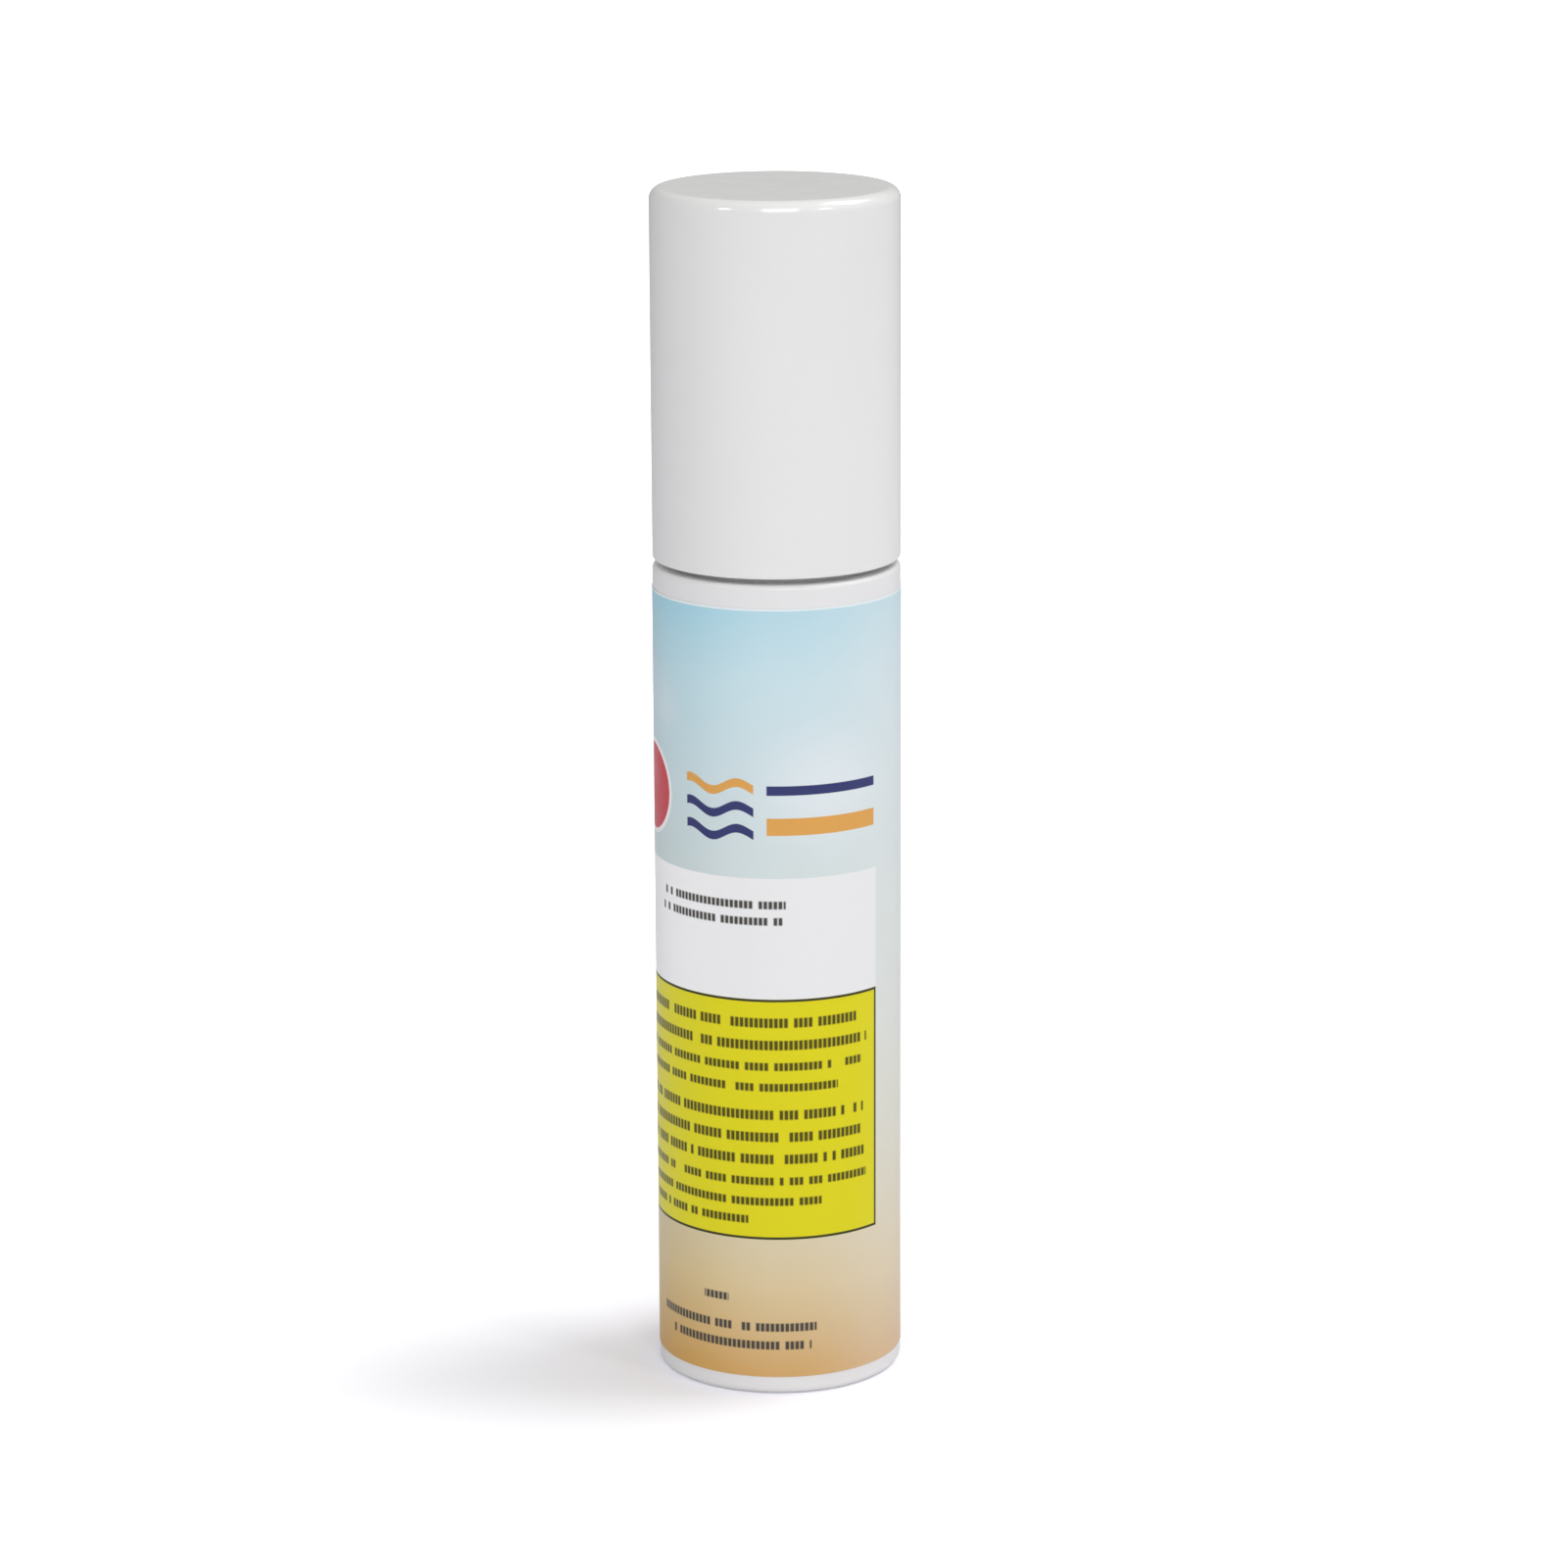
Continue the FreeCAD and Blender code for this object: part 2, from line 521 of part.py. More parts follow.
def make_pump_housing():
    """Flanged cylinder with the inlet valve's seat and chamber at its lower end."""
    piece = Piece("pump_housing", "Levels.housing_bottom")
    step = "Levels.chamber_top - Sizes.pump_wall"
    piece.turn("cylinder", [
        ("Radii.inlet", "Levels.housing_bottom"),
        ("Radii.chamber_outside", "Levels.housing_bottom"),
        ("Radii.chamber_outside", step),
        ("Radii.housing", step),
        ("Radii.housing", "Levels.flange_seat"),
        ("Radii.flange", "Levels.flange_seat"),
        ("Radii.flange", "Levels.flange_top"),
        ("Radii.pump_bore", "Levels.flange_top"),
        ("Radii.pump_bore", "Levels.chamber_top"),
        ("Radii.ball_chamber", "Levels.chamber_top"),
        ("Radii.ball_chamber", "Levels.seat_high"),
        ("Radii.inlet", "Levels.seat_low"),
    ])
    inside_the_wall = "Radii.ball_chamber + Sizes.pump_wall / 2"
    piece.fins("ball_stop", [
        ("Radii.ball_stop", "Levels.ball_stop"),
        (inside_the_wall, "Levels.ball_stop"),
        (inside_the_wall, "Levels.chamber_top"),
        ("Radii.ball_stop", "Levels.chamber_top"),
    ], "Sizes.ball_stop_width", "Sizes.ball_stop_count")
    return piece.body


def make_inlet_ball():
    """Ball that closes the inlet as the head is pressed."""
    ball = doc.addObject("Part::Sphere", "inlet_ball")
    ball.Label = "inlet_ball"
    ball.setExpression("Radius", "Radii.ball")
    ball.setExpression("Placement.Base.z", "Levels.ball")
    return ball


def make_pump_piston():
    """Sleeve that slides on the stem's lower end and seals in the housing with two lips."""
    piece = Piece("pump_piston", "Levels.piston_bottom")
    low_lip = "Levels.piston_bottom + Sizes.piston_lip"
    high_lip = "Levels.piston_top - Sizes.piston_lip"
    hole = "Sizes.piston_hole / 2"
    piece.turn("sleeve", [
        (hole, "Levels.piston_bottom"),
        ("Radii.piston_lip", "Levels.piston_bottom"),
        ("Radii.piston_lip", low_lip),
        ("Radii.piston_waist", low_lip),
        ("Radii.piston_waist", high_lip),
        ("Radii.piston_lip", high_lip),
        ("Radii.piston_lip", "Levels.piston_top"),
        ("Radii.stem_slide", "Levels.piston_top"),
        ("Radii.stem_slide", "Levels.piston_step"),
        (hole, "Levels.piston_step"),
    ])
    return piece.body


def make_piston_rod():
    """Rod held in the stem by its splines, with the outlet valve's head below the piston."""
    piece = Piece("piston_rod", "Levels.rod_bottom")
    head = "Sizes.rod_head_diameter / 2"
    core = "Sizes.rod_core / 2"
    piece.turn("rod", [
        (AXIS, "Levels.rod_bottom"),
        (head, "Levels.rod_bottom"),
        (head, "Levels.rod_head_top"),
        (core, "Levels.rod_head_top"),
        (core, "Levels.rod_top"),
        (AXIS, "Levels.rod_top"),
    ])
    piece.fins("spline", [
        (AXIS, "Levels.rod_head_top"),
        ("Radii.spline", "Levels.rod_head_top"),
        ("Radii.spline", "Levels.rod_top"),
        (AXIS, "Levels.rod_top"),
    ], "Sizes.spline_width", "Sizes.spline_count")
    return piece.body


def make_stem():
    """Tube from the piston to the push head, with the ring that stops it in the guide."""
    piece = Piece("stem", "Levels.stem_bottom")
    piece.turn("tube", [
        ("Radii.stem_bore", "Levels.stem_bottom"),
        ("Radii.stem", "Levels.stem_bottom"),
        ("Radii.stem", "Levels.stem_ring_low"),
        ("Radii.stem_ring", "Levels.stem_ring_low"),
        ("Radii.stem_ring", "Levels.stem_ring_top"),
        ("Radii.stem", "Levels.stem_ring_top"),
        ("Radii.stem", "Levels.stem_top"),
        ("Radii.stem_bore", "Levels.stem_top"),
    ])
    return piece.body


def make_stem_guide():
    """Hat over the housing's mouth that stops the stem's ring and seats the spring."""
    piece = Piece("stem_guide", "Levels.flange_top")
    piece.turn("hat", [
        ("Radii.pump_bore", "Levels.flange_top"),
        ("Radii.flange", "Levels.flange_top"),
        ("Radii.flange", "Levels.clamp_low"),
        ("Radii.housing", "Levels.clamp_low"),
        ("Radii.housing", "Levels.guide_top"),
        ("Radii.guide_bore", "Levels.guide_top"),
        ("Radii.guide_bore", "Levels.guide_roof"),
        ("Radii.pump_bore", "Levels.guide_roof"),
    ])
    return piece.body


def make_return_spring():
    """Coil round the stem socket, from the guide up to the boss."""
    rise = "(Sizes.spring_length - Sizes.spring_wire - 2 * Sizes.spring_seat_gap)"
    path = doc.addObject("Part::Helix", "spring_path")
    path.setExpression("Radius", "Radii.coil")
    path.setExpression("Height", rise)
    path.setExpression("Pitch", f"{rise} / Sizes.spring_turns")
    wire = doc.addObject("Part::Circle", "spring_wire")
    wire.setExpression("Radius", "Sizes.spring_wire / 2")
    wire.Placement = Placement(Vector(), Rotation(Vector(1, 0, 0), 90))
    wire.setExpression("Placement.Base.x", "Radii.coil")
    spring = doc.addObject("Part::Sweep", "return_spring")
    spring.Label = "return_spring"
    spring.Sections = [wire]
    spring.Spine = (path, [])
    spring.Solid = True
    spring.Frenet = True
    lowest_turn = "Levels.guide_top + Sizes.spring_seat_gap + Sizes.spring_wire / 2"
    spring.setExpression("Placement.Base.z", lowest_turn)
    return spring


def make_actuator():
    """Push head: skirt, dished top, boss with the stem's socket, and a side spout."""
    piece = Piece("actuator", "Levels.skirt")
    piece.turn("shell", [
        ("Radii.head_bore", "Levels.skirt"),
        ("Radii.head", "Levels.skirt"),
        ("Radii.head", "Levels.head_top"),
        (AXIS, "Levels.head_top"),
        (AXIS, "Levels.socket_roof"),
        ("Radii.stem_slide", "Levels.socket_roof"),
        ("Radii.stem_slide", "Levels.socket"),
        ("Radii.socket", "Levels.socket"),
        ("Radii.socket", "Levels.boss"),
        ("Radii.boss", "Levels.boss"),
        ("Radii.boss", "Levels.head_roof"),
        ("Radii.head_bore", "Levels.head_roof"),
    ])
    piece.round_edges("top_edge", "Sizes.head_fillet", [("Radii.head", "Levels.head_top", AXIS)])
    spout = piece.body.newObject("PartDesign::Pad", "spout")
    spout.Profile = piece.circle("spout_outside", "Radii.spout", "Levels.spout")
    spout.setExpression("Length", "Radii.spout_mouth")
    doc.recompute()
    piece.bore("riser", [
        (AXIS, "Levels.socket_roof"),
        ("Radii.channel", "Levels.socket_roof"),
        ("Radii.channel", "Levels.spout"),
        (AXIS, "Levels.spout"),
    ])
    channel = piece.body.newObject("PartDesign::Pocket", "channel")
    channel.Profile = piece.circle("channel_outside", "Radii.channel", "Levels.spout")
    channel.Reversed = True
    channel.setExpression("Length", "Radii.spout_mouth")
    piece.cut(channel)
    mouth = ("Radii.spout", "Levels.spout", "-Radii.spout_mouth")
    piece.round_edges("spout_mouth", "Sizes.spout_fillet", [mouth])
    dish = piece.body.newObject("PartDesign::SubtractiveSphere", "finger_dish")
    dish.setExpression("Radius", "Radii.dish")
    dish_centre = piece.local("Levels.head_top + Radii.dish - Sizes.dish_depth")
    dish.setExpression("Placement.Base.z", dish_centre)
    piece.cut(dish)
    return piece.body


def make_overcap():
    """Cap with a gripping land at its mouth and ribs that stop it on the collar's ledge."""
    piece = Piece("overcap", "Levels.cap_mouth")
    piece.turn("shell", [
        ("Radii.cap_land", "Levels.cap_mouth"),
        ("Radii.outer", "Levels.cap_mouth"),
        ("Radii.outer", "Levels.cap_top"),
        (AXIS, "Levels.cap_top"),
        (AXIS, "Levels.cap_roof"),
        ("Radii.cap_bore", "Levels.cap_roof"),
        ("Radii.cap_bore", "Levels.cap_land_top + Sizes.cap_land"),
        ("Radii.cap_land", "Levels.cap_land_top"),
    ])
    piece.round_edges("top_edge", "Sizes.cap_top_fillet", [("Radii.outer", "Levels.cap_top", AXIS)])
    piece.round_edges("roof_corner", "Sizes.cap_roof_fillet", [("Radii.cap_bore", "Levels.cap_roof", AXIS)])
    piece.round_edges("mouth_edge", "Sizes.cap_mouth_fillet", [("Radii.outer", "Levels.cap_mouth", AXIS)])
    inside_the_wall = "Radii.cap_bore + Sizes.cap_wall / 2"
    inside_the_top = "Levels.cap_roof + Sizes.cap_top_wall / 2"
    piece.fins("stop_rib", [
        ("Radii.cap_rib", "Levels.ledge"),
        (inside_the_wall, "Levels.ledge"),
        (inside_the_wall, inside_the_top),
        ("Radii.cap_rib", inside_the_top),
    ], "Sizes.rib_width", "Sizes.rib_count")
    return piece.body


PIECES = [
    make_container(),
    make_base_plug(),
    make_follower(),
    make_toothpaste(),
    make_label(),
    make_collar(),
    make_gasket(),
    make_pump_housing(),
    make_inlet_ball(),
    make_pump_piston(),
    make_piston_rod(),
    make_stem(),
    make_stem_guide(),
    make_return_spring(),
    make_actuator(),
    make_overcap(),
]
doc.recompute()


def check():
    """Stops before anything is written if an object failed or a shape isn't sound."""
    for item in doc.Objects:
        if "Invalid" in item.State or "Error" in item.State:
            raise RuntimeError(f"{item.Name} failed: {item.State}")
    for piece in PIECES:
        shape = piece.Shape
        if shape.isNull() or not shape.isValid() or len(shape.Solids) != 1:
            raise RuntimeError(f"{piece.Label} isn't one valid solid")


check()
os.makedirs("parts", exist_ok=True)
for piece in PIECES:
    piece.Shape.exportStep(f"parts/{piece.Label}.step")
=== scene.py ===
from math import atan2, ceil, cos, degrees, hypot, pi, radians, sin, tan

import bmesh
import bpy
from mathutils import Matrix, Vector


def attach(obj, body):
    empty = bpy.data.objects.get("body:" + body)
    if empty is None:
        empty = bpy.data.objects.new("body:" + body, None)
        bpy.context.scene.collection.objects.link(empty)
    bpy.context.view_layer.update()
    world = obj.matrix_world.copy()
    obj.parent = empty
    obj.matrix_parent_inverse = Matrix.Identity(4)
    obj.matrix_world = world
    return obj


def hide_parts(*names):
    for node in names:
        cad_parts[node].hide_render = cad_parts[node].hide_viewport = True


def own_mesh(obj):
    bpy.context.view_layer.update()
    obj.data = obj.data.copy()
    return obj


# The looks of a straight round airless dispenser for toothpaste. Sizes are in millimetres over the foot, with
# +Z up and the front at -Y, and meshes are made in metres.

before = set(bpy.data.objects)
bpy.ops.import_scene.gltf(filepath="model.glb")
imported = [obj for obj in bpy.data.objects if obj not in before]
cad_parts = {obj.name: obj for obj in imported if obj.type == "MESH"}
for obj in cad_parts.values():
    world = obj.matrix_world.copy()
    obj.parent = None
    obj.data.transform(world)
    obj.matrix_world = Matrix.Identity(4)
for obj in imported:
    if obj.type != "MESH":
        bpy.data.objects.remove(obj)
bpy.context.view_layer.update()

# A millimetre in metres
MM = 0.001
# Columns round most turned pieces
AROUND = 192
# Degrees between the points of an arc, and the angle past which an edge is shaded sharp
ARC_STEP = 9.0
SHARP_ANGLE = 32.0
# A run longer than LONG_RUN gets a point this near both of its ends
SUPPORT = 0.12
LONG_RUN = 8 * SUPPORT

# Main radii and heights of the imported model
OUTER = 15.5
INNER = 13.9
SHOULDER = 104.6
BODY_ROOF = 102.8
NECK = 11.3
NECK_BORE = 9.5
NECK_TOP = 120.0
CAP_TOP = 151.6
CAP_ROOF = 150.1
CAP_MOUTH = 105.4
CAP_LAND = 14.1
CAP_BORE = 14.2
FILM_INNER = 15.53
FILM_OUTER = 15.585
LABEL_LOW = 2.4
LABEL_HIGH = 101.8
COLLAR_BORE = 11.4
COLLAR_LAND = 14.05
CHIMNEY = 12.9
CUP_WALL = 13.84
CUP_BORE = 12.65
CUP_TOP = 8.0
SPOUT_HEIGHT = 139.9
HEAD_TOP = 145.4


# Meshes


def fillet_points(before, corner, after, radius):
    """The points of an arc that rounds a corner of an outline."""
    to_before = (Vector(before) - Vector(corner)).normalized()
    to_after = (Vector(after) - Vector(corner)).normalized()
    opening = to_before.angle(to_after)
    centre = Vector(corner) + (to_before + to_after).normalized() * radius / sin(opening / 2)
    start = Vector(corner) + to_before * radius / tan(opening / 2) - centre
    end = Vector(corner) + to_after * radius / tan(opening / 2) - centre
    turn = (pi - opening) * (1 if start.cross(end) > 0 else -1)
    steps = max(2, ceil(degrees(abs(turn)) / ARC_STEP))
    first = atan2(start.y, start.x)
    angles = [first + turn * step / steps for step in range(steps + 1)]
    return [(centre.x + radius * cos(angle), centre.y + radius * sin(angle)) for angle in angles]


def rounded(corners):
    """A closed outline from corners (across, up) or (across, up, fillet radius)."""
    points = []
    last = len(corners)
    for number, corner in enumerate(corners):
        if len(corner) == 2:
            points.append(tuple(corner))
            continue
        before = corners[number - 1][:2]
        after = corners[(number + 1) % last][:2]
        points += fillet_points(before, corner[:2], after, corner[2])
    return points


def supported(points):
    """Adds a point near both ends of each long run, which keeps the shading of the run flat."""
    result = []
    last = len(points)
    for number, point in enumerate(points):
        after = points[(number + 1) % last]
        length = hypot(after[0] - point[0], after[1] - point[1])
        result.append(point)
        on_axis = point[0] == 0 and after[0] == 0
        if length > LONG_RUN and not on_axis:
            for share in (SUPPORT / length, 1 - SUPPORT / length):
                across = point[0] + (after[0] - point[0]) * share
                up = point[1] + (after[1] - point[1]) * share
                result.append((across, up))
    return result


def around_z(radius, up, angle):
    """A place on the upright axis: the angle runs from the front, -Y, towards +X."""
    return radius * sin(angle), -radius * cos(angle), up


def around_y(radius, along, angle):
    """A place round the spout's axis, which points along -Y."""
    return radius * sin(angle), -along, SPOUT_HEIGHT + radius * cos(angle)


def add_turned(mesh, points, place=around_z, around=AROUND, start=0.0, sweep=360.0):
    """Turns a closed outline round an axis, all the way or through an angle with both ends closed."""
    whole = sweep == 360.0
    columns = around if whole else around + 1
    rings = []
    for across, up in points:
        if across == 0:
            pole = mesh.verts.new(Vector(place(0, up, 0)) * MM)
            rings.append([pole] * columns)
            continue
        angles = [radians(start + sweep * column / around) for column in range(columns)]
        rings.append([mesh.verts.new(Vector(place(across, up, angle)) * MM) for angle in angles])
    last = len(rings)
    for number in range(last):
        ring, after = rings[number], rings[(number + 1) % last]
        for column in range(around):
            other = (column + 1) % columns
            corners = [ring[column], ring[other], after[other], after[column]]
            distinct = list(dict.fromkeys(corners))
            if len(distinct) > 2:
                mesh.faces.new(distinct)
    if not whole:
        mesh.faces.new([ring[0] for ring in rings])
        mesh.faces.new([ring[-1] for ring in reversed(rings)])


def add_prism(mesh, plan, low, high, turn):
    """An upright prism over a plan outline (out, across), turned round the upright axis."""
    spin = Matrix.Rotation(radians(turn), 3, "Z")
    rows = []
    for up in (low, high):
        rows.append([mesh.verts.new(spin @ Vector((out, across, up)) * MM) for out, across in plan])
    last = len(plan)
    for number in range(last):
        after = (number + 1) % last
        mesh.faces.new([rows[0][number], rows[0][after], rows[1][after], rows[1][number]])
    mesh.faces.new(reversed(rows[0]))
    mesh.faces.new(rows[1])


def finish_mesh(name, mesh):
    """Makes an object of a mesh, with smooth shading up to the sharp corners."""
    bmesh.ops.recalc_face_normals(mesh, faces=mesh.faces)
    data = bpy.data.meshes.new(name)
    mesh.to_mesh(data)
    mesh.free()
    piece = bpy.data.objects.new(name, data)
    bpy.context.scene.collection.objects.link(piece)
    smooth(piece)
    return piece


def smooth(piece):
    """Smooth shading, broken where two faces meet at more than the sharp angle."""
    piece.data.shade_smooth()
    piece.data.set_sharp_from_angle(angle=radians(SHARP_ANGLE))


def turned_piece(name, corners, **turning):
    """A new object turned from an outline with its fillets."""
    mesh = bmesh.new()
    add_turned(mesh, supported(rounded(corners)), **turning)
    return finish_mesh(name, mesh)


def cut_or_join(piece, tool, operation):
    """Joins a tool to a piece or cuts it out, and drops the tool."""
    modifier = piece.modifiers.new(operation, "BOOLEAN")
    modifier.operation = operation
    modifier.solver = "EXACT"
    modifier.object = tool
    evaluated = piece.evaluated_get(bpy.context.evaluated_depsgraph_get())
    result = bpy.data.meshes.new_from_object(evaluated)
    piece.modifiers.clear()
    piece.data = result
    bpy.data.objects.remove(tool)


# Materials


class Surface:
    """A node material on the principled shader, with short calls for the nodes that feed it."""

    def __init__(self, name):
        self.material = bpy.data.materials.new(name)
        self.material.use_nodes = True
        self.tree = self.material.node_tree
        self.shader = self.tree.nodes["Principled BSDF"]
        place = self.tree.nodes.new("ShaderNodeTexCoord")
        self.place = place.outputs["Object"]

    def feed(self, socket, value):
        """Links a socket to another, or sets it to a number or a colour."""
        if isinstance(value, bpy.types.NodeSocket):
            self.tree.links.new(value, socket)
        else:
            socket.default_value = value

    def math(self, operation, *values, clamp=False):
        node = self.tree.nodes.new("ShaderNodeMath")
        node.operation = operation
        node.use_clamp = clamp
        for socket, value in zip(node.inputs, values):
            self.feed(socket, value)
        return node.outputs[0]

    def remap(self, value, low, high, to_low, to_high, smooth_step=False):
        node = self.tree.nodes.new("ShaderNodeMapRange")
        node.interpolation_type = "SMOOTHSTEP" if smooth_step else "LINEAR"
        for name, number in zip(("From Min", "From Max", "To Min", "To Max"), (low, high, to_low, to_high)):
            node.inputs[name].default_value = number
        self.feed(node.inputs["Value"], value)
        return node.outputs[0]

    def window(self, value, centre, half, soft):
        """1 within half of the centre and 0 outside, with an edge that is soft to both sides."""
        away = self.math("ABSOLUTE", self.math("SUBTRACT", value, centre))
        return self.remap(away, half - soft, half + soft, 1, 0, smooth_step=True)

    def between(self, value, low, high, soft):
        return self.window(value, (low + high) / 2, (high - low) / 2, soft)

    def mix(self, share, first, second, blend="MIX"):
        node = self.tree.nodes.new("ShaderNodeMix")
        node.data_type = "RGBA"
        node.blend_type = blend
        self.feed(node.inputs["Factor"], share)
        self.feed(node.inputs[6], first)
        self.feed(node.inputs[7], second)
        return node.outputs[2]

    def ramp(self, value, stops):
        """A colour ramp that runs straight from each (place, colour) stop to the next."""
        node = self.tree.nodes.new("ShaderNodeValToRGB")
        node.color_ramp.interpolation = "LINEAR"
        elements = node.color_ramp.elements
        elements[0].position, elements[0].color = stops[0]
        elements[1].position, elements[1].color = stops[-1]
        for position, colour in stops[1:-1]:
            elements.new(position).color = colour
        self.feed(node.inputs[0], value)
        return node.outputs[0]

    def noise(self, size_mm, detail=2.0, roughness=0.5, stretch=(1, 1, 1)):
        """Noise with features of about the given size, stretched along the axes."""
        mapping = self.tree.nodes.new("ShaderNodeMapping")
        mapping.inputs["Scale"].default_value = [1 / share for share in stretch]
        self.feed(mapping.inputs["Vector"], self.place)
        node = self.tree.nodes.new("ShaderNodeTexNoise")
        node.inputs["Scale"].default_value = 1 / (size_mm * MM)
        node.inputs["Detail"].default_value = detail
        node.inputs["Roughness"].default_value = roughness
        self.feed(node.inputs["Vector"], mapping.outputs[0])
        return node.outputs["Fac"]

    def bump(self, height, depth_mm, strength=1.0, below=None):
        node = self.tree.nodes.new("ShaderNodeBump")
        node.inputs["Strength"].default_value = strength
        node.inputs["Distance"].default_value = depth_mm * MM
        self.feed(node.inputs["Height"], height)
        if below is not None:
            self.feed(node.inputs["Normal"], below)
        return node.outputs[0]

    def axes(self):
        """The angle from the front towards +X in degrees, and the height in millimetres."""
        split = self.tree.nodes.new("ShaderNodeSeparateXYZ")
        self.feed(split.inputs[0], self.place)
        across, along, up = split.outputs
        turn = self.math("ARCTAN2", across, self.math("MULTIPLY", along, -1))
        return self.math("MULTIPLY", turn, 180 / pi), self.math("MULTIPLY", up, 1 / MM)

    def set(self, **values):
        """Sets or links the shader's own sockets, named with underscores for spaces."""
        for name, value in values.items():
            self.feed(self.shader.inputs[name.replace("_", " ")], value)


# Noise stays between these values nearly everywhere
NOISE_SPAN = (0.3, 0.7)


def linear(level):
    """A screen level, 0 to 1, as a share of light."""
    return level / 12.92 if level <= 0.04045 else ((level + 0.055) / 1.055) ** 2.4


def colour(red, green, blue):
    """A colour written as it shows on a screen, 0 to 255."""
    return linear(red / 255), linear(green / 255), linear(blue / 255), 1.0


def moulded_plastic(name, shade, roughness, grain_mm=0.03, flow=0.012, peel=0.004, gloss=0.5):
    """Moulded plastic: slight flow clouds in the colour, uneven gloss and a fine skin."""
    surface = Surface(name)
    clouds = surface.noise(9.0, detail=3.0, stretch=(1, 1, 2.5))
    darker = tuple(part * (1 - flow) for part in shade[:3]) + (1.0,)
    lighter = tuple(min(1.0, part * (1 + flow)) for part in shade[:3]) + (1.0,)
    patchy = surface.remap(clouds, *NOISE_SPAN, 0, 1)
    surface.set(Base_Color=surface.mix(patchy, darker, lighter))
    uneven = surface.noise(3.5, detail=4.0)
    surface.set(Roughness=surface.remap(uneven, *NOISE_SPAN, roughness - 0.03, roughness + 0.03))
    skin = surface.bump(surface.noise(2.2, detail=1.0), peel)
    grain = surface.bump(surface.noise(0.25, detail=2.0), grain_mm * 0.02, below=skin)
    surface.set(Normal=grain, IOR=1.49, Specular_IOR_Level=gloss)
    return surface.material


def brushed_wire(name):
    """Drawn steel wire with fine lines along its length."""
    surface = Surface(name)
    lines = surface.noise(0.2, detail=3.0, stretch=(1, 1, 0.2))
    surface.set(Base_Color=surface.mix(lines, colour(168, 170, 174), colour(205, 207, 210)))
    surface.set(Metallic=1.0, Roughness=surface.remap(lines, *NOISE_SPAN, 0.3, 0.42))
    surface.set(Normal=surface.bump(lines, 0.004))
    return surface.material


def soft_seal(name):
    """Foamed sealing ring with small closed pores."""
    surface = Surface(name)
    pores = surface.noise(0.35, detail=3.0)
    surface.set(Base_Color=surface.mix(pores, colour(196, 196, 190), colour(226, 226, 220)))
    surface.set(Roughness=0.75, Normal=surface.bump(pores, 0.03))
    return surface.material


def smooth_paste(name):
    """White paste with soft swirls and a wet sheen."""
    surface = Surface(name)
    swirls = surface.noise(6.0, detail=4.0, stretch=(1, 1, 1.6))
    surface.set(Base_Color=surface.mix(swirls, colour(226, 238, 238), colour(247, 250, 249)))
    surface.set(Roughness=0.22, Normal=surface.bump(swirls, 0.12))
    return surface.material


# The print on the label, in degrees from the front and millimetres over the foot
DEGREE_ARC = OUTER * pi / 180
NAVY = colour(52, 58, 110)
ORANGE = colour(226, 166, 84)
# The ground's colour at each height
GROUND_STOPS = [
    (3, (212, 165, 92)), (8, (214, 180, 120)), (15, (221, 198, 148)), (30, (215, 211, 183)),
    (48, (214, 220, 212)), (78, (207, 225, 228)), (93, (194, 225, 233)), (101, (171, 217, 231)),
]
PALE = colour(240, 238, 234)
PALE_SHARE = 0.2
# Round pale glows in the ground: angle, height, reach and strength
GLOWS = ((22, 79, 11, 0.5), (-66, 88, 6, 0.3))
GLOW_TONE = colour(240, 243, 246)
# The white and the yellow panel, with a fine frame line round the yellow one: RULE in millimetres, and the
# line's left side in degrees
PANEL_LEFT = -100.0
PANEL_RIGHT = 51.5
WHITE_PANEL_TOP = 67.7
YELLOW_TOP = 52.15
YELLOW_LOW = 20.7
RULE = 0.33
LEFT_RULE = 1.2
# Plain wave lines: middle height and ink
WAVES = ((79.2, ORANGE), (76.3, NAVY), (73.4, NAVY))
WAVE_LEFT = -46
WAVE_RIGHT = -11
WAVE_LENGTH = 25
WAVE_SWING = 0.6
WAVE_HALF = 0.56
WAVE_SOFT = 0.06
# Plain plates: lower edge, upper edge and ink
PLATES = ((78.3, 79.5, NAVY), (73.2, 75.4, ORANGE))
PLATE_LEFT = -5.0
PLATE_RIGHT = 50.0
# A plain round spot with a pale rim: reach and ink
SPOT_ANGLE = -80.2
SPOT_HEIGHT = 76.7
SPOT_RINGS = ((6.1, colour(250, 246, 246)), (5.5, colour(206, 62, 72)))
SPOT_SOFT = 0.06
# Plain bars in place of lines of type: middle height, half height, left end, right end
SMALL_BARS = [
    (49.1, 0.62, -96, 38.6), (46.2, 0.62, -96, 44.8), (43.4, 0.52, -96, 41.6), (40.7, 0.52, -96, 28.4),
    (37.1, 0.62, -96, 42.7), (34.2, 0.62, -96, 42.7), (31.3, 0.62, -96, 43.2), (28.4, 0.52, -96, 44.5),
    (25.7, 0.52, -96, 20.0), (23.3, 0.52, -96, -14.5), (64.3, 0.5, -66, 3.6), (62.2, 0.5, -66, 2.2),
    (12.7, 0.5, -37.6, -24.5), (9.0, 0.55, -68.6, 17.4), (6.6, 0.55, -68.6, 14.9),
]
# Length of a bar's cells, the share of cells left empty, the hatching's pitch and the inked share of it
WORD_CELL = 0.62
WORD_GAPS = 0.14
HATCH_PITCH = 0.62
HATCH_INK = 0.68


